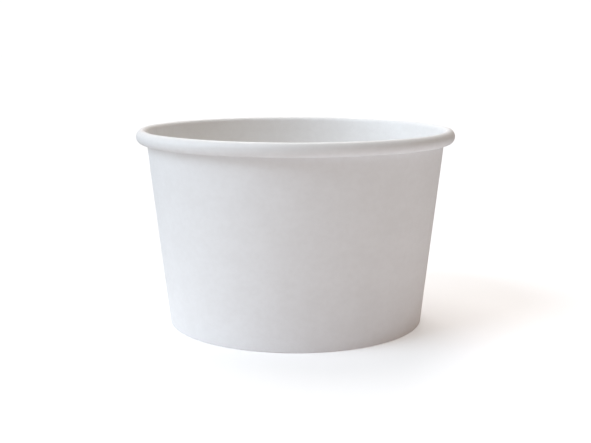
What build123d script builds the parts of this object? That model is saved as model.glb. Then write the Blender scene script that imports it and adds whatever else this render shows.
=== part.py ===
"""Paper sundae cup: a wound board sidewall with a rolled rim and a folded foot, and a recessed base."""

from build123d import *
from math import asin, atan2, cos, degrees, hypot, radians, sin, tan
import os

# Overall sizes, millimetres
rim_diameter = 97.0  # over the rolled rim
base_diameter = 78.5  # outside of the wall at the table
cup_height = 59.7  # table to the top of the rim

# Paperboard
board = 0.35  # sidewall blank
base_board = 0.35  # base blank

# Rolled rim: three arcs on the face that shows, over the top, down the side and back underneath
rim_top_radius = 1.53
rim_side_radius = 2.255
rim_tuck = 1.0  # straight length of the edge that stands inside the roll
tuck_gap = 0.05  # between the tucked edge and the wall at the lap

# Base: a flat floor, a rounded corner and a skirt that points down into the hem
base_recess = 8.0  # table to the underside of the floor
base_corner_radius = 0.9  # upper edge of the floor

# Folded foot
fold_radius = 0.05  # inside radius of the pressed fold
grip_gap = 0.02  # glue line between the base skirt and the board on each side of it
hem_gap = 0.95  # the hem's cut edge ends this far below the floor's rounded corner

# Side seam: the blank's ends lap, and the outer one climbs over the inner one
seam_azimuth = 168.0  # cut edge of the inner layer, degrees from +X
lap_angle = 10.0  # two layers thick
jog_angle = 3.0  # the outer layer climbs by one board, just before the lap
jog_slit = 0.1  # the climbing layer is cut free of the fold by this much

# Circles of the rim roll, as points on the section plane: X is the radius, Y the height
spread = cos(radians(45))  # the roll's arcs meet at 45 degrees above and below the level
top_centre = Vector(
    rim_diameter / 2 - rim_side_radius + spread * (rim_side_radius - rim_top_radius),
    cup_height - rim_top_radius,
)
side_centre = top_centre - Vector(spread, spread) * (rim_side_radius - rim_top_radius)

# The wall's inner face runs up from the foot and is tangent to the roll's first circle
foot_radius = base_diameter / 2 - board
reach = hypot(top_centre.X - foot_radius, top_centre.Y)
lean = atan2(top_centre.X - foot_radius, top_centre.Y) - asin(rim_top_radius / reach)
slant = degrees(lean)
up_wall = Vector(sin(lean), cos(lean))
out_of_wall = Vector(cos(lean), -sin(lean))

# The roll's third circle brings the board back beside the wall, clear of its two layers at the lap
under_radius = (
    rim_top_radius * (1 + spread * cos(lean) - spread * sin(lean))
    + 2 * spread * rim_side_radius * sin(lean)
    - 2 * board
    - tuck_gap
) / (1 + spread * cos(lean) + spread * sin(lean))
under_centre = side_centre + Vector(spread, -spread) * (rim_side_radius - under_radius)


def wall_point(height, depth):
    """A point at a height, and at a depth into the board from the wall's inner face."""
    return Vector(foot_radius + height * tan(lean) + depth / cos(lean), height)


# The hem folds up around the base skirt and ends below the floor's rounded corner
pocket = base_board + 2 * grip_gap
fold_centre = wall_point(board + fold_radius, -fold_radius)
hem_centre = wall_point(board + fold_radius, fold_radius - pocket)
floor_top = base_recess + base_board
corner_height = floor_top - base_corner_radius
hem_height = corner_height - hem_gap


def section_plane(azimuth):
    """The half-plane through the cup's axis at an azimuth."""
    turn = radians(azimuth)
    return Plane(origin=(0, 0, 0), x_dir=(cos(turn), sin(turn), 0), z_dir=(sin(turn), -cos(turn), 0))


def wall_section(azimuth, near, far, lift=0):
    """Wall and rolled rim between two depths into the board, starting at the fold or lifted clear of it."""
    wall_foot = fold_centre + up_wall * lift
    tuck_end = under_centre + up_wall * rim_tuck
    with BuildSketch(section_plane(azimuth)) as section:
        with BuildLine():
            for depth in (near, far):
                to_foot = out_of_wall * (fold_radius + depth)
                to_roll = out_of_wall * (rim_top_radius - depth)
                to_tuck = out_of_wall * (under_radius - depth)
                Line(wall_foot + to_foot, top_centre - to_roll)
                CenterArc(top_centre, rim_top_radius - depth, 180 - slant, slant - 135)
                CenterArc(side_centre, rim_side_radius - depth, 45, -90)
                CenterArc(under_centre, under_radius - depth, -45, -135 - slant)
                Line(under_centre - to_tuck, tuck_end - to_tuck)
            across = out_of_wall * (far - near)
            wall_end = wall_foot + out_of_wall * (fold_radius + near)
            roll_end = tuck_end - out_of_wall * (under_radius - near)
            Line(wall_end, wall_end + across)
            Line(roll_end, roll_end + across)
        make_face()
    return section.sketch


def foot_section():
    """Hem and pressed fold, one board thick, flat on the table between the fold's two corners."""
    with BuildSketch(section_plane(0)) as section:
        with BuildLine():
            for depth in (0, board):
                radius = fold_radius + depth
                down = Vector(0, -radius)
                Line(wall_point(hem_height, -pocket - depth), hem_centre - out_of_wall * radius)
                CenterArc(hem_centre, radius, 180 - slant, 90 + slant)
                Line(hem_centre + down, fold_centre + down)
                CenterArc(fold_centre, radius, 270, 90 - slant)
            Line(wall_point(hem_height, -pocket), wall_point(hem_height, -pocket - board))
            Line(fold_centre + out_of_wall * fold_radius, fold_centre + out_of_wall * (fold_radius + board))
        make_face()
    return section.sketch


# Sidewall: one wound blank
with BuildPart() as sidewall:
    revolve(foot_section(), axis=Axis.Z)
    # single board, from the outer layer's cut edge round to the jog
    revolve(
        wall_section(seam_azimuth + lap_angle, 0, board),
        axis=Axis.Z,
        revolution_arc=360 - lap_angle - jog_angle,
    )
    # two layers at the lap
    revolve(wall_section(seam_azimuth, 0, 2 * board), axis=Axis.Z, revolution_arc=lap_angle)
    # the outer layer climbs over the inner layer's cut edge
    jog_start = wall_section(seam_azimuth - jog_angle, 0, board, jog_slit)
    jog_end = wall_section(seam_azimuth, board, 2 * board, jog_slit)
    loft(sections=[jog_start, jog_end], ruled=True)
sidewall.part.label = "sidewall"

# Base: one pressed disc
with BuildPart() as base_disc:
    with BuildSketch(section_plane(0)):
        with BuildLine():
            corner = wall_point(corner_height, -grip_gap - base_corner_radius)
            skirt_foot = board + fold_radius + grip_gap
            for depth in (0, base_board):
                radius = base_corner_radius - depth
                Line((0, floor_top - depth), corner + Vector(0, radius))
                CenterArc(corner, radius, 90, -90 - slant)
                Line(corner + out_of_wall * radius, wall_point(skirt_foot, -grip_gap - depth))
            Line((0, floor_top), (0, base_recess))
            Line(wall_point(skirt_foot, -grip_gap), wall_point(skirt_foot, -grip_gap - base_board))
        make_face()
    revolve(axis=Axis.Z)
base_disc.part.label = "base_disc"

# Output
os.makedirs("parts", exist_ok=True)
export_step(sidewall.part, "parts/sidewall.step")
export_step(base_disc.part, "parts/base_disc.step")
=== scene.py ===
"""Paper sundae cup: a wound board sidewall with a rolled rim, and a pressed base."""
from math import asin, atan2, cos, hypot, pi, radians, sin, tan

import bpy
from bpy.props import FloatProperty, FloatVectorProperty, IntProperty, PointerProperty
from bpy.types import Operator, Panel, PropertyGroup
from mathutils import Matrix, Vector, noise


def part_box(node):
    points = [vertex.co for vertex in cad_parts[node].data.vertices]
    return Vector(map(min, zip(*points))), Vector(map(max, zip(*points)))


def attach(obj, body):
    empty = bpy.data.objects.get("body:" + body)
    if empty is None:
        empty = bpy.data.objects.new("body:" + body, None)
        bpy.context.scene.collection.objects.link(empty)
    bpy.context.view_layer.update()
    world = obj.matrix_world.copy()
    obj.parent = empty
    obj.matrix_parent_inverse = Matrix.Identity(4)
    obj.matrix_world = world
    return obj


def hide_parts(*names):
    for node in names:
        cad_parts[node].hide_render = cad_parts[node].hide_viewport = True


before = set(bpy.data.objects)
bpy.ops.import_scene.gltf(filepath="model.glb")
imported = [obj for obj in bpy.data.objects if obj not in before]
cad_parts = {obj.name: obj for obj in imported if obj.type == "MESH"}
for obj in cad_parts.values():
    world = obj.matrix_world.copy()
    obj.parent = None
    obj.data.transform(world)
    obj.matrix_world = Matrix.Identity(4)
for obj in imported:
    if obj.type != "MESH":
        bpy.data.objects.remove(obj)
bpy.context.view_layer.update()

bl_info = {
    "name": "Paper Sundae Cup",
    "version": (1, 0, 0),
    "blender": (4, 5, 0),
    "location": "3D View > Sidebar > Cup",
    "description": "Builds a paper sundae cup around its packed model, piece by piece",
    "category": "Object",
}

WALL_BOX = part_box("sidewall")
BASE_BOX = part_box("base_disc")
RIM_RADIUS = max(abs(WALL_BOX[0][0]), WALL_BOX[1][0])
CUP_HEIGHT = WALL_BOX[1][2]
BOARD = 0.00035  # gauge of the cup board
GRIP_GAP = 0.00002  # glue line on each side of the base skirt
FOLD_RADIUS = BASE_BOX[0][2] - BOARD - GRIP_GAP  # the skirt's lower edge stands just off the fold
FLOOR_TOP = BASE_BOX[1][2]
SPREAD = sin(radians(45))  # the roll's arcs meet at 45 degrees above and below the level
SEAM_GLUE = 0.00001  # between the two layers of the side seam
CRISP_EDGE = radians(50)  # a sheet's edges that turn more than this stay crisp
BLANK_MAP = "blank"  # the sheet's place on its flat blank, in metres

# Far lights: which of the stage's colours each one takes, its azimuth and its elevation in degrees
LAMPS = (
    ("window_high", 210, 45),
    ("window_low", 180, 15),
    ("lamp_back", 90, 45),
    ("lamp_top", 120, 70),
)
LAMP_WIDTH = radians(30)
BACKDROP = 1.02  # just over white, as the camera sees it
FLOOR_HALF_WIDTH = 6.0


# ---------------------------------------------------------------------------------------------
# Sizes, finishes and stage
# ---------------------------------------------------------------------------------------------


def length(name, description, default):
    """A length in metres."""
    return FloatProperty(
        name=name, description=description, default=default, unit="LENGTH", precision=6
    )


def angle(name, description, degrees):
    """An angle, given in degrees and kept in radians."""
    return FloatProperty(
        name=name, description=description, default=radians(degrees), subtype="ANGLE"
    )


def share(name, description, default):
    """A share from 0 to 1."""
    return FloatProperty(
        name=name, description=description, default=default, min=0, max=1, subtype="FACTOR"
    )


def colour(name, description, default):
    """A plain RGB colour."""
    return FloatVectorProperty(
        name=name, description=description, default=default, size=3, subtype="COLOR"
    )


class CupSizes(PropertyGroup):
    """Sizes of the two blanks and of what is folded and rolled in them."""

    foot_diameter: length("Foot", "Outside of the wall at the table", 0.0785)
    rim_top_radius: length("Rim Top", "Radius over the top of the roll", 0.00153)
    rim_side_radius: length("Rim Side", "Radius down the side of the roll", 0.00221)
    rim_tuck: length("Rim Tuck", "Straight edge that stands inside the roll", 0.001)
    tuck_gap: length("Tuck Gap", "Between the tucked edge and the wall", 0.00005)
    hem_height: length("Hem", "Height of the hem's cut edge above the table", 0.0065)
    seam_azimuth: angle("Seam", "Where the inner layer's cut edge lies, from +X", 168)
    lap_angle: angle("Lap", "Width of the double layer", 10)
    jog_angle: angle("Jog", "Where the outer layer climbs over the inner one", 3)
    rim_bulge: length("Rim Bulge", "How far the roll swells over the lap", 0.00010)
    wander: length("Wander", "How far the board strays from a true cone", 0.00007)
    knurl_count: IntProperty(name="Knurl", description="Pressed ribs round the hem", default=84)
    knurl_depth: length("Knurl Depth", "Height of the pressed ribs", 0.00013)
    base_corner_radius: length("Base Corner", "Upper edge of the base", 0.0009)
    base_crown: length("Base Crown", "How far the base bows upward", 0.0002)
    pleat_count: IntProperty(name="Pleats", description="Pleats in the base skirt", default=60)
    pleat_depth: length("Pleat Depth", "Height of those pleats", 0.00003)


class CupFinish(PropertyGroup):
    """Colours and grain of the board."""

    board_white: colour("Board White", "Bare board at its brightest", (0.901, 0.901, 0.896))
    board_shade: colour("Board Shade", "Bare board, in its thin spots", (0.871, 0.868, 0.861))
    coated_white: colour("Coated White", "Coated inner face", (0.9, 0.9, 0.893))
    coated_shade: colour("Coated Shade", "Coated inner face, thin spots", (0.868, 0.866, 0.858))
    edge_light: colour("Edge Light", "Raw pulp on a cut edge", (0.86, 0.85, 0.825))
    edge_dark: colour("Edge Dark", "Raw pulp, between the plies", (0.74, 0.725, 0.69))
    cloud_size: length("Cloud Size", "Size of the clouds in the board's formation", 0.0017)
    fibre_size: length("Fibre Size", "Width of the fibres on its surface", 0.00016)
    bare_roughness: share("Bare Roughness", "Roughness of the bare board", 0.82)
    coated_roughness: share("Coated Roughness", "Roughness of the coated face", 0.5)
    edge_roughness: share("Edge Roughness", "Roughness of a cut edge", 0.9)
    bare_relief: length("Bare Relief", "Height of the fibres on the bare board", 0.000022)
    coated_relief: length("Coated Relief", "Height of the fibres under the coating", 0.000012)
    edge_relief: length("Edge Relief", "Height of the fibres on a cut edge", 0.00004)
    bare_specular: share("Bare Sheen", "Mirror-like share of the bare board", 0.3)
    coated_specular: share("Coated Sheen", "Mirror-like share of the coated face", 0.45)
    edge_specular: share("Edge Sheen", "Mirror-like share of a cut edge", 0.2)


class CupStage(PropertyGroup):
    """Floor, camera and studio light."""

    # Painted pool of light on the floor: its colour is palest round the pale centre and painted dim
    # beyond the dim radius, so that it throws more bounce light onto the cup from in front. The
    # lifts are seen by the camera only and make the whole floor read as white.
    painted_pool_floor: colour("Floor", "Plain pale floor by the cup", (0.92, 0.92, 0.92))
    painted_dim_floor: colour("Far Floor", "Floor beyond the pale stretch", (0.25, 0.25, 0.25))
    pale_centre: FloatVectorProperty(
        name="Pale Centre",
        description="Middle of the floor's pale stretch",
        default=(0.08, -0.12, 0),
        subtype="TRANSLATION",
    )
    pale_radius: length("Pale Floor", "The floor is pale out to here", 0.09)
    dim_radius: length("Dim Floor", "The floor is dim from here on", 0.31)
    # Painted glow: the pale stretch of floor itself gives off faint light onto the cup, though it
    # is no lamp.
    floor_glow: colour("Floor Glow", "Faint light through the pale floor", (0.068, 0.043, 0.054))
    lift_near: colour("Near Lift", "Makes the pale floor read as white", (0.27, 0.27, 0.27))
    lift_far: colour("Far Lift", "The same for the far floor", (0.8, 0.8, 0.8))
    camera_distance: length("Distance", "Camera to the centre of the rim", 0.30875)
    camera_lift: angle("Lift", "Camera above the level of the rim", 5.06)
    camera_pitch: angle("Pitch", "Camera tilted down from the level", 10.04)
    lens: FloatProperty(name="Lens", description="Focal length", default=60.9, unit="CAMERA")
    window_high: colour("Window High", "Light from the upper left front", (0.317, 0.367, 0.427))
    window_low: colour("Window Low", "Light from low on the left", (0.25, 0.287, 0.319))
    lamp_back: colour("Back Lamp", "Light from above and behind", (0.278, 0.264, 0.268))
    lamp_top: colour("Top Lamp", "Light from high above, a little behind", (0.214, 0.213, 0.214))
    ambient: colour("Ambient", "Warm light from all round", (0.313, 0.268, 0.226))


# ---------------------------------------------------------------------------------------------
# The board's own line, from the hem's cut edge to the edge tucked inside the roll
# ---------------------------------------------------------------------------------------------

# Each stretch of the line, with how many steps it is divided into
ROWS = (
    ("hem", 4),
    ("hem fold", 5),
    ("rest", 1),
    ("wall fold", 5),
    ("wall", 34),
    ("over", 12),
    ("side", 8),
    ("under", 12),
    ("tuck", 2),
)
FOLD_END = sum(steps for name, steps in ROWS[:4])  # last row of the fold, first of the wall
ROLL_START = FOLD_END + ROWS[4][1]
ROW_COUNT = 1 + sum(steps for name, steps in ROWS)
KNURL_ROWS = range(1, 4)  # rows of the hem that the pressed ribs cover


def on_section(radius, height):
    """A point on the cup's section: X is the radius and Y the height."""
    return Vector((radius, height))


def arc_points(centre, radius, start, sweep, steps):
    """Points along an arc, without its first."""
    turns = [start + sweep * n / steps for n in range(1, steps + 1)]
    return [centre + radius * on_section(cos(turn), sin(turn)) for turn in turns]


def line_points(start, end, steps):
    """Points along a straight line, without its first."""
    return [start.lerp(end, n / steps) for n in range(1, steps + 1)]


class CupLine:
    """Where the wall leans and where the roll's circles stand."""

    def __init__(self, sizes):
        self.sizes = sizes
        self.steps = dict(ROWS)
        top, side = sizes.rim_top_radius, sizes.rim_side_radius
        self.side_centre = on_section(RIM_RADIUS - side, CUP_HEIGHT - top - SPREAD * (side - top))
        self.top_centre = self.side_centre + on_section(SPREAD, SPREAD) * (side - top)
        self.foot_radius = sizes.foot_diameter / 2 - BOARD
        run = self.top_centre.x - self.foot_radius
        self.lean = atan2(run, self.top_centre.y) - asin(top / hypot(run, self.top_centre.y))
        self.up = on_section(sin(self.lean), cos(self.lean))
        self.out = on_section(cos(self.lean), -sin(self.lean))
        self.pocket = BOARD + 2 * GRIP_GAP

    def wall_point(self, height, depth):
        """A point at a height, and at a depth into the board from the wall's inner face."""
        radius = self.foot_radius + height * tan(self.lean) + depth / cos(self.lean)
        return on_section(radius, height)

    def under_circle(self, room):
        """The roll's third circle: it brings the board back beside a wall as thick as the room."""
        top, side = self.sizes.rim_top_radius, self.sizes.rim_side_radius
        tilt = SPREAD * sin(self.lean)
        radius = top * (1 + SPREAD * cos(self.lean) - tilt) + 2 * side * tilt
        radius -= room + self.sizes.tuck_gap
        radius /= 1 + SPREAD * cos(self.lean) + tilt
        return self.side_centre + on_section(SPREAD, -SPREAD) * (side - radius), radius

    def points(self, depth, room):
        """The whole line at a depth into the board, rolled with room for a wall that thick."""
        fold_height = BOARD + FOLD_RADIUS
        hem_centre = self.wall_point(fold_height, FOLD_RADIUS - self.pocket)
        fold_centre = self.wall_point(fold_height, -FOLD_RADIUS)
        fold = FOLD_RADIUS + depth
        under_centre, under = self.under_circle(room)
        hem_top = self.wall_point(self.sizes.hem_height, -self.pocket - depth)
        steps, slant = self.steps, self.lean
        line = [hem_top]
        line += line_points(hem_top, hem_centre - self.out * fold, steps["hem"])
        line += arc_points(hem_centre, fold, pi - slant, pi / 2 + slant, steps["hem fold"])
        line += [fold_centre - on_section(0, fold)]
        line += arc_points(fold_centre, fold, -pi / 2, pi / 2 - slant, steps["wall fold"])
        roll_foot = self.top_centre - self.out * (self.sizes.rim_top_radius - depth)
        line += line_points(line[-1], roll_foot, steps["wall"])
        arcs = (
            ("over", self.top_centre, self.sizes.rim_top_radius, pi - slant, slant - pi * 3 / 4),
            ("side", self.side_centre, self.sizes.rim_side_radius, pi / 4, -pi / 2),
            ("under", under_centre, under, -pi / 4, -pi * 3 / 4 - slant),
        )
        for name, centre, radius, start, sweep in arcs:
            line += arc_points(centre, radius - depth, start, sweep, steps[name])
        line += line_points(line[-1], line[-1] + self.up * self.sizes.rim_tuck, steps["tuck"])
        return line


# ---------------------------------------------------------------------------------------------
# Closed shells of board
# ---------------------------------------------------------------------------------------------


def smooth(value):
    """An even ramp from 0 to 1."""
    value = min(max(value, 0), 1)
    return value * value * (3 - 2 * value)


def spin(point, azimuth):
    """A point of the section, turned round the cup's axis."""
    return Vector((point.x * cos(azimuth), point.x * sin(azimuth), point.y))


def board_shell(name, near, far, cells, materials):
    """A closed sheet of board. near and far give each key's point on the two faces. A cell is
    four corners, each a key with its place on the flat blank. The two faces are joined round
    every open edge. The materials are those of the near face, the far face and the edges."""
    keys = list(near)
    count = len(keys)
    index = {key: n for n, key in enumerate(keys)}
    points = [near[key] for key in keys] + [far[key] for key in keys]
    faces, places, finish, open_edges = [], [], [], {}
    for corners in cells:
        ring = []
        for corner in corners:
            if not ring or (corner[0] != ring[-1][0] and corner[0] != ring[0][0]):
                ring.append(corner)
        faces.append([index[key] for key, place in ring[::-1]])
        places.append([place for key, place in ring[::-1]])
        finish.append(0)
        faces.append([index[key] + count for key, place in ring])
        places.append([place for key, place in ring])
        finish.append(1)
        for first, second in zip(ring, ring[1:] + ring[:1]):
            if (second[0], first[0]) in open_edges:
                del open_edges[second[0], first[0]]
            else:
                open_edges[first[0], second[0]] = (first[1], second[1])
    across = Vector((0, BOARD))
    for (first, second), (start, end) in open_edges.items():
        a, b = index[first], index[second]
        faces.append([a, b, b + count, a + count])
        places.append([start, end, end + across, start + across])
        finish.append(2)
    mesh = bpy.data.meshes.new(name)
    mesh.from_pydata(points, [], faces)
    for material in materials:
        mesh.materials.append(material)
    mesh.polygons.foreach_set("material_index", finish)
    mesh.polygons.foreach_set("use_smooth", [True] * len(faces))
    flat = mesh.uv_layers.new(name=BLANK_MAP)
    flat.data.foreach_set("uv", [value for place in places for corner in place for value in corner])
    mesh.set_sharp_from_angle(angle=CRISP_EDGE)
    piece = bpy.data.objects.new(name, mesh)
    bpy.context.scene.collection.objects.link(piece)
    return piece


def square_cells(corner, columns, rows):
    """Four-cornered cells between neighbouring columns and rows."""
    return [
        [
            corner(column, row),
            corner(column + 1, row),
            corner(column + 1, row + 1),
            corner(column, row + 1),
        ]
        for column in columns
        for row in rows
    ]


def running_lengths(line):
    """How far along a line each of its points lies."""
    lengths = [0.0]
    for first, second in zip(line, line[1:]):
        lengths.append(lengths[-1] + (second - first).length)
    return lengths


def sheet_columns(sizes):
    """Azimuths along the wound blank, from the inner layer's cut edge, and how many of them
    close the circle."""
    lap_steps, main_steps, jog_steps = 16, 420, 10
    start, lap, jog = sizes.seam_azimuth, sizes.lap_angle, sizes.jog_angle
    main = 2 * pi - lap - jog
    turns = [start + lap * n / lap_steps for n in range(lap_steps)]
    turns += [start + lap + main * n / main_steps for n in range(main_steps)]
    turns += [start + lap + main + jog * n / jog_steps for n in range(jog_steps)]
    closed = len(turns)
    turns += [turns[n] + 2 * pi for n in range(lap_steps)] + [start + 2 * pi + lap]
    return turns, closed


def wall_stray(sizes, azimuth, height, row):
    """How far the board strays from its true form, along its own section's normal."""
    round_slow, up_slow, round_fast, up_fast, fast_share = 1.4, 22, 4, 60, 0.4
    apart = 9  # keeps the two layers of noise unlike
    east, north = cos(azimuth), sin(azimuth)
    away = noise.noise(Vector((east * round_slow, north * round_slow, height * up_slow)))
    away += fast_share * noise.noise(
        Vector((east * round_fast + apart, north * round_fast, height * up_fast))
    )
    calm_rows = 8
    return sizes.wander * away * smooth((row - FOLD_END) / calm_rows)


def over_lap(sizes, azimuth, fade):
    """1 over the lap, and down to 0 at this many degrees beyond it."""
    middle = sizes.seam_azimuth + sizes.lap_angle / 2
    off = abs((azimuth - middle + pi) % (2 * pi) - pi)
    return 1 - smooth((off - sizes.lap_angle / 2) / radians(fade))


def rim_swell(sizes, azimuth, row):
    """The roll swells a little where it holds two layers."""
    swell_rows = 6
    grown = smooth((row - ROLL_START) / swell_rows)
    return sizes.rim_bulge * over_lap(sizes, azimuth, fade=6) * grown


def rim_room(sizes, azimuth):
    """Thickness of wall that the roll leaves room for: two layers near the lap, one elsewhere."""
    return BOARD * (1 + over_lap(sizes, azimuth, fade=5))


def build_sidewall(sizes, materials):
    """The wound blank: hem, fold, wall, lap and rolled rim."""
    line = CupLine(sizes)
    turns, closed = sheet_columns(sizes)
    jog_start = sizes.seam_azimuth + 2 * pi - sizes.jog_angle
    mean_radius = (RIM_RADIUS + line.foot_radius) / 2
    lengths = running_lengths(line.points(0, BOARD))
    near, far = {}, {}
    rounding = 1e-9  # azimuths this near each other are the same

    def section(azimuth, depth):
        room = rim_room(sizes, azimuth)
        inner = line.points(depth, room)
        outer = line.points(depth + BOARD, room)
        for row in range(ROW_COUNT):
            normal = (outer[row] - inner[row]).normalized()
            stray = wall_stray(sizes, azimuth, inner[row].y, row) - rim_swell(sizes, azimuth, row)
            knurl = 0
            if row in KNURL_ROWS:
                knurl = sizes.knurl_depth * (0.5 + 0.5 * cos(azimuth * sizes.knurl_count))
            inner[row] = spin(inner[row] + normal * stray, azimuth)
            outer[row] = spin(outer[row] + normal * (stray + knurl), azimuth)
        return inner, outer

    for column, azimuth in enumerate(turns):
        if column < closed:
            inner, outer = section(azimuth, 0)
            for row in range(FOLD_END + 1):
                near["foot", column, row], far["foot", column, row] = inner[row], outer[row]
        climb = smooth((azimuth - jog_start) / sizes.jog_angle)
        inner, outer = section(azimuth, climb * (BOARD + SEAM_GLUE))
        for row in range(FOLD_END, ROW_COUNT):
            near["wall", column, row], far["wall", column, row] = inner[row], outer[row]

    def place(column, row):
        return Vector((turns[column] * mean_radius, lengths[row]))

    def wall_corner(column, row):
        return ("wall", column, row), place(column, row)

    def foot_corner(column, row):
        # the foot grows out of the wall, except where the wall climbs over the lap
        joined = row == FOLD_END and turns[column % closed] <= jog_start + rounding
        return ("wall" if joined else "foot", column % closed, row), place(column, row)

    cells = square_cells(foot_corner, range(closed), range(FOLD_END))
    cells += square_cells(wall_corner, range(len(turns) - 1), range(FOLD_END, ROW_COUNT - 1))
    used = {key for cell in cells for key, spot in cell}
    near = {key: point for key, point in near.items() if key in used}
    return board_shell("cup_sidewall", near, far, cells, materials)


def build_base(sizes, materials):
    """The pressed base: a bowed floor, a rounded corner and a pleated skirt."""
    line = CupLine(sizes)
    columns, floor_steps, corner_steps, skirt_steps = 240, 26, 8, 10
    pleat_top = floor_steps + corner_steps // 2  # the pleats start halfway round the corner
    inner_pleat = 0.2  # how much of a pleat shows on the inner face
    bow_size, bow_share = 60, 1.2  # uneven bow: its scale, and its height in wanders
    corner_height = FLOOR_TOP - sizes.base_corner_radius
    corner_centre = line.wall_point(corner_height, -GRIP_GAP - sizes.base_corner_radius)
    skirt_foot = BASE_BOX[0][2]

    def section(depth):
        radius = sizes.base_corner_radius - depth
        foot = line.wall_point(skirt_foot, -GRIP_GAP - depth)
        points = [on_section(0, FLOOR_TOP - depth)]
        points += line_points(points[0], corner_centre + on_section(0, radius), floor_steps)
        points += arc_points(corner_centre, radius, pi / 2, -pi / 2 - line.lean, corner_steps)
        points += line_points(points[-1], foot, skirt_steps)
        return points

    top, under = section(0), section(BOARD)
    lengths = running_lengths(top)
    near, far = {}, {}

    def key_of(column, row):
        return ("base", column % columns if row else 0, row)

    for row in range(len(top)):
        for column in range(columns if row else 1):
            azimuth = 2 * pi * column / columns
            bow = pleat = Vector((0, 0, 0))
            if row <= floor_steps:
                out = row / floor_steps
                uneven = noise.noise(spin(top[row] * bow_size, azimuth)) * (1 - out)
                rise = sizes.base_crown * (1 - out * out) + sizes.wander * bow_share * uneven
                bow = Vector((0, 0, rise))
            elif row > pleat_top:
                fullness = 0.5 + 0.5 * cos(azimuth * sizes.pleat_count)
                pleat = spin(on_section(-sizes.pleat_depth * fullness, 0), azimuth)
            near[key_of(column, row)] = spin(top[row], azimuth) + bow + pleat * inner_pleat
            far[key_of(column, row)] = spin(under[row], azimuth) + bow + pleat

    def corner(column, row):
        azimuth = 2 * pi * column / columns
        return key_of(column, row), lengths[row] * Vector((cos(azimuth), sin(azimuth)))

    cells = square_cells(corner, range(columns), range(len(top) - 1))
    return board_shell("cup_base", near, far, cells, materials)


# ---------------------------------------------------------------------------------------------
# Materials
# ---------------------------------------------------------------------------------------------


def add_node(tree, kind, **settings):
    """A node with its properties and input values set."""
    node = tree.nodes.new(kind)
    for name, value in settings.items():
        if name in node.inputs:
            node.inputs[name].default_value = value
        else:
            setattr(node, name, value)
    return node


def new_group(name, inputs, outputs):
    """An empty shader node group with named value or vector sockets."""
    tree = bpy.data.node_groups.new(name, "ShaderNodeTree")
    for socket, kind in inputs:
        tree.interface.new_socket(name=socket, in_out="INPUT", socket_type=kind)
    for socket in outputs:
        tree.interface.new_socket(name=socket, in_out="OUTPUT", socket_type="NodeSocketFloat")
    return tree, tree.nodes.new("NodeGroupInput"), tree.nodes.new("NodeGroupOutput")


def blend(tree, factor, low, high):
    """A colour between two, by a factor. Each colour is a value or another node's output."""
    node = add_node(tree, "ShaderNodeMix", data_type="RGBA")
    tree.links.new(factor, node.inputs["Factor"])
    for name, value in (("A", low), ("B", high)):
        if isinstance(value, bpy.types.NodeSocket):
            tree.links.new(value, node.inputs[name])
        else:
            node.inputs[name].default_value = (*value, 1)
    return node.outputs["Result"]


def noise_layer(tree, place, scale, **settings):
    """A noise at a place, with its scale from another node. Gives the noise's value."""
    layer = add_node(tree, "ShaderNodeTexNoise", **settings)
    tree.links.new(place, layer.inputs["Vector"])
    tree.links.new(scale, layer.inputs["Scale"])
    return layer.outputs["Fac"]


def arithmetic(tree, operation, *values):
    """One arithmetic step on numbers or other nodes' outputs."""
    node = add_node(tree, "ShaderNodeMath", operation=operation)
    for socket, value in zip(node.inputs, values):
        if isinstance(value, bpy.types.NodeSocket):
            tree.links.new(value, socket)
        else:
            socket.default_value = value
    return node.outputs[0]


def formation_group():
    """Clouds that light shows in pulp board, and the relief of the fibres on its face."""
    found = bpy.data.node_groups.get("board formation")
    if found:
        return found
    value, vector = "NodeSocketFloat", "NodeSocketVector"
    tree, given, made = new_group(
        "board formation",
        (("Place", vector), ("Cloud Size", value), ("Fibre Size", value)),
        ("Clouds", "Relief"),
    )
    place = given.outputs["Place"]
    # clouds, with wider patches of them
    patch_scale, patch_share = 0.22, 0.42
    thin, thick = 0.36, 0.64
    cloud_scale = arithmetic(tree, "DIVIDE", 1, given.outputs["Cloud Size"])
    clouds = noise_layer(tree, place, cloud_scale, Detail=5, Roughness=0.68)
    wide_scale = arithmetic(tree, "MULTIPLY", cloud_scale, patch_scale)
    patches = noise_layer(tree, place, wide_scale, Detail=2, Roughness=0.6)
    both = add_node(tree, "ShaderNodeMix", data_type="FLOAT")
    both.inputs["Factor"].default_value = patch_share
    tree.links.new(clouds, both.inputs["A"])
    tree.links.new(patches, both.inputs["B"])
    spread_out = add_node(tree, "ShaderNodeMapRange", interpolation_type="SMOOTHSTEP")
    spread_out.inputs["From Min"].default_value = thin
    spread_out.inputs["From Max"].default_value = thick
    tree.links.new(both.outputs["Result"], spread_out.inputs["Value"])
    tree.links.new(spread_out.outputs["Result"], made.inputs["Clouds"])
    # fibres that lie three ways, on the swell of the clouds
    fibre_lies, fibre_stretch, cloud_relief = (20, 75, 140), 0.14, 0.35
    fibre_scale = arithmetic(tree, "DIVIDE", 1, given.outputs["Fibre Size"])
    total = None
    for lie in fibre_lies:
        turned = add_node(
            tree, "ShaderNodeMapping", Rotation=(0, 0, radians(lie)), Scale=(1, fibre_stretch, 1)
        )
        tree.links.new(place, turned.inputs["Vector"])
        strands = noise_layer(
            tree, turned.outputs["Vector"], fibre_scale, Detail=2, Roughness=0.5, Distortion=0.4
        )
        total = strands if total is None else arithmetic(tree, "MAXIMUM", total, strands)
    relief = arithmetic(tree, "MULTIPLY_ADD", clouds, cloud_relief, total)
    tree.links.new(relief, made.inputs["Relief"])
    return tree


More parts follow.
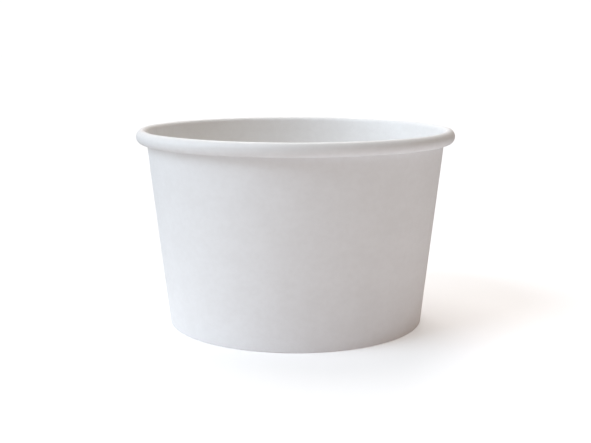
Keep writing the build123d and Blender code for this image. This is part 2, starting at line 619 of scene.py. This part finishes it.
def board_material(name, finish, light, dark, roughness, relief, specular):
    """Pulp board with a clouded formation and a fibrous face, its relief in metres."""
    gloss_swing = 0.05  # thin spots are this much rougher, thick ones this much smoother
    material = bpy.data.materials.new(name)
    material.use_nodes = True
    tree = material.node_tree
    link = tree.links.new
    shader = tree.nodes["Principled BSDF"]
    shader.inputs["Specular IOR Level"].default_value = specular
    blank = add_node(tree, "ShaderNodeUVMap", uv_map=BLANK_MAP)
    formation = add_node(tree, "ShaderNodeGroup", node_tree=formation_group())
    formation.inputs["Cloud Size"].default_value = finish.cloud_size
    formation.inputs["Fibre Size"].default_value = finish.fibre_size
    link(blank.outputs["UV"], formation.inputs["Place"])
    link(blend(tree, formation.outputs["Clouds"], dark, light), shader.inputs["Base Color"])
    gloss = add_node(tree, "ShaderNodeMapRange")
    gloss.inputs["To Min"].default_value = roughness + gloss_swing
    gloss.inputs["To Max"].default_value = roughness - gloss_swing
    link(formation.outputs["Clouds"], gloss.inputs["Value"])
    link(gloss.outputs["Result"], shader.inputs["Roughness"])
    bump = add_node(tree, "ShaderNodeBump", Strength=1.0, Distance=relief)
    link(formation.outputs["Relief"], bump.inputs["Height"])
    link(bump.outputs["Normal"], shader.inputs["Normal"])
    return material


def cup_materials(finish):
    """Inner face, outer face and cut edge, in the order that a shell takes them."""
    kinds = (
        (
            "coated board",
            finish.coated_white,
            finish.coated_shade,
            finish.coated_roughness,
            finish.coated_relief,
            finish.coated_specular,
        ),
        (
            "bare board",
            finish.board_white,
            finish.board_shade,
            finish.bare_roughness,
            finish.bare_relief,
            finish.bare_specular,
        ),
        (
            "cut edge",
            finish.edge_light,
            finish.edge_dark,
            finish.edge_roughness,
            finish.edge_relief,
            finish.edge_specular,
        ),
    )
    return [
        bpy.data.materials.get(name) or board_material(name, finish, *look) for name, *look in kinds
    ]


def floor_material(stage):
    """Matt floor with a painted pool of light, palest in front of the cup and painted dim further
    off, that the camera sees as white.
    """
    material = bpy.data.materials.new("studio floor")
    material.use_nodes = True
    tree = material.node_tree
    shader = tree.nodes["Principled BSDF"]
    shader.inputs["Specular IOR Level"].default_value = 0.1
    shader.inputs["Roughness"].default_value = 0.9
    shader.inputs["Emission Strength"].default_value = 1
    place = add_node(tree, "ShaderNodeTexCoord")
    radius = add_node(tree, "ShaderNodeVectorMath", operation="DISTANCE")
    radius.inputs[1].default_value = stage.pale_centre
    tree.links.new(place.outputs["Object"], radius.inputs[0])
    distance = add_node(tree, "ShaderNodeMapRange", interpolation_type="SMOOTHSTEP")
    distance.inputs["From Min"].default_value = stage.pale_radius
    distance.inputs["From Max"].default_value = stage.dim_radius
    tree.links.new(radius.outputs["Value"], distance.inputs["Value"])
    far = distance.outputs["Result"]
    rays = add_node(tree, "ShaderNodeLightPath")
    # painted glow: the pale stretch gives off faint light onto the cup, which the camera does not
    # see
    shed = blend(tree, far, stage.floor_glow, (0, 0, 0))
    seen = blend(tree, far, stage.lift_near, stage.lift_far)
    glow = blend(tree, rays.outputs["Is Camera Ray"], shed, seen)
    tree.links.new(glow, shader.inputs["Emission Color"])
    # painted pool of light: the floor's own colour is palest near the pale centre and painted dim
    # further off
    painted_pool = blend(tree, far, stage.painted_pool_floor, stage.painted_dim_floor)
    tree.links.new(painted_pool, shader.inputs["Base Color"])
    return material


# ---------------------------------------------------------------------------------------------
# Stage
# ---------------------------------------------------------------------------------------------


def build_floor(stage):
    """A wide flat floor, level with the foot."""
    half = FLOOR_HALF_WIDTH
    mesh = bpy.data.meshes.new("studio_floor")
    corners = [(-half, -half, 0), (half, -half, 0), (half, half, 0), (-half, half, 0)]
    mesh.from_pydata(corners, [], [(0, 1, 2, 3)])
    mesh.materials.append(floor_material(stage))
    floor = bpy.data.objects.new("studio_floor", mesh)
    bpy.context.scene.collection.objects.link(floor)


def add_lamp(name, azimuth, elevation, light_colour):
    """A far soft light that shines from a direction. Its colour is what it adds to a white
    surface that faces it."""
    brightest = max(light_colour)
    light = bpy.data.lights.new(name, "SUN")
    light.energy = pi * brightest
    light.angle = LAMP_WIDTH
    light.color = [value / brightest for value in light_colour]
    lamp = bpy.data.objects.new(name, light)
    level = on_section(cos(elevation), sin(elevation))
    towards = spin(level, azimuth)
    lamp.rotation_euler = towards.to_track_quat("Z", "Y").to_euler()
    lamp.location = towards
    bpy.context.scene.collection.objects.link(lamp)


def build_lights(stage):
    """Soft light from the left, weaker lights from above and behind, and a fill all round."""
    for name, azimuth, elevation in LAMPS:
        add_lamp(name, radians(azimuth), radians(elevation), getattr(stage, name))
    world = bpy.data.worlds.new("studio")
    bpy.context.scene.world = world
    world.use_nodes = True
    tree = world.node_tree
    fill = tree.nodes["Background"]
    fill.inputs["Color"].default_value = (*stage.ambient, 1)
    backdrop = add_node(tree, "ShaderNodeBackground", Color=(1, 1, 1, 1), Strength=BACKDROP)
    rays = add_node(tree, "ShaderNodeLightPath")
    choose = add_node(tree, "ShaderNodeMixShader")
    tree.links.new(rays.outputs["Is Camera Ray"], choose.inputs[0])
    tree.links.new(fill.outputs[0], choose.inputs[1])
    tree.links.new(backdrop.outputs[0], choose.inputs[2])
    tree.links.new(choose.outputs[0], tree.nodes["World Output"].inputs["Surface"])
    bpy.context.scene.view_settings.view_transform = "Standard"


def build_camera(stage, line):
    """A camera in front of the cup, a little above its rim."""
    camera = bpy.data.cameras.new("camera")
    camera.lens = stage.lens
    camera.clip_start = 0.01
    view = bpy.data.objects.new("camera", camera)
    rim_height = line.side_centre.y
    view.location = (
        0,
        -stage.camera_distance * cos(stage.camera_lift),
        rim_height + stage.camera_distance * sin(stage.camera_lift),
    )
    view.rotation_euler = (pi / 2 - stage.camera_pitch, 0, 0)
    bpy.context.scene.collection.objects.link(view)
    bpy.context.scene.camera = view


# ---------------------------------------------------------------------------------------------
# Operators and panel
# ---------------------------------------------------------------------------------------------


def seat(piece, node):
    """Puts a piece on the cup's body in place of its plain node."""
    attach(piece, "root")
    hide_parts(node)


class CUP_OT_sidewall(Operator):
    """Build the wound sidewall with its rolled rim, lapped seam and folded foot"""

    bl_idname = "cup.build_sidewall"
    bl_label = "Build Sidewall"

    def execute(self, context):
        scene = context.scene
        piece = build_sidewall(scene.cup_sizes, cup_materials(scene.cup_finish))
        seat(piece, "sidewall")
        return {"FINISHED"}


class CUP_OT_base(Operator):
    """Build the pressed base with its skirt"""

    bl_idname = "cup.build_base"
    bl_label = "Build Base"

    def execute(self, context):
        scene = context.scene
        piece = build_base(scene.cup_sizes, cup_materials(scene.cup_finish))
        seat(piece, "base_disc")
        return {"FINISHED"}


class CUP_OT_stage(Operator):
    """Set the floor, the lights and the camera"""

    bl_idname = "cup.build_stage"
    bl_label = "Build Stage"

    def execute(self, context):
        stage = context.scene.cup_stage
        build_floor(stage)
        build_lights(stage)
        build_camera(stage, CupLine(context.scene.cup_sizes))
        return {"FINISHED"}


class VIEW3D_PT_cup(Panel):
    """Sizes, finishes and build steps of the cup"""

    bl_label = "Paper Sundae Cup"
    bl_space_type = "VIEW_3D"
    bl_region_type = "UI"
    bl_category = "Cup"

    def draw(self, context):
        scene = context.scene
        for group in (scene.cup_sizes, scene.cup_finish, scene.cup_stage):
            box = self.layout.box()
            for name in group.__annotations__:
                box.prop(group, name)
        for operator in OPERATORS:
            self.layout.operator(operator.bl_idname)


OPERATORS = (CUP_OT_stage, CUP_OT_sidewall, CUP_OT_base)
CLASSES = (CupSizes, CupFinish, CupStage, *OPERATORS, VIEW3D_PT_cup)


def register():
    for kind in CLASSES:
        bpy.utils.register_class(kind)
    bpy.types.Scene.cup_sizes = PointerProperty(type=CupSizes)
    bpy.types.Scene.cup_finish = PointerProperty(type=CupFinish)
    bpy.types.Scene.cup_stage = PointerProperty(type=CupStage)


def unregister():
    del bpy.types.Scene.cup_stage
    del bpy.types.Scene.cup_finish
    del bpy.types.Scene.cup_sizes
    for kind in reversed(CLASSES):
        bpy.utils.unregister_class(kind)


def main():
    register()
    bpy.ops.cup.build_stage()
    bpy.ops.cup.build_sidewall()
    bpy.ops.cup.build_base()
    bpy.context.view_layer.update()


if __name__ == "__main__":
    main()
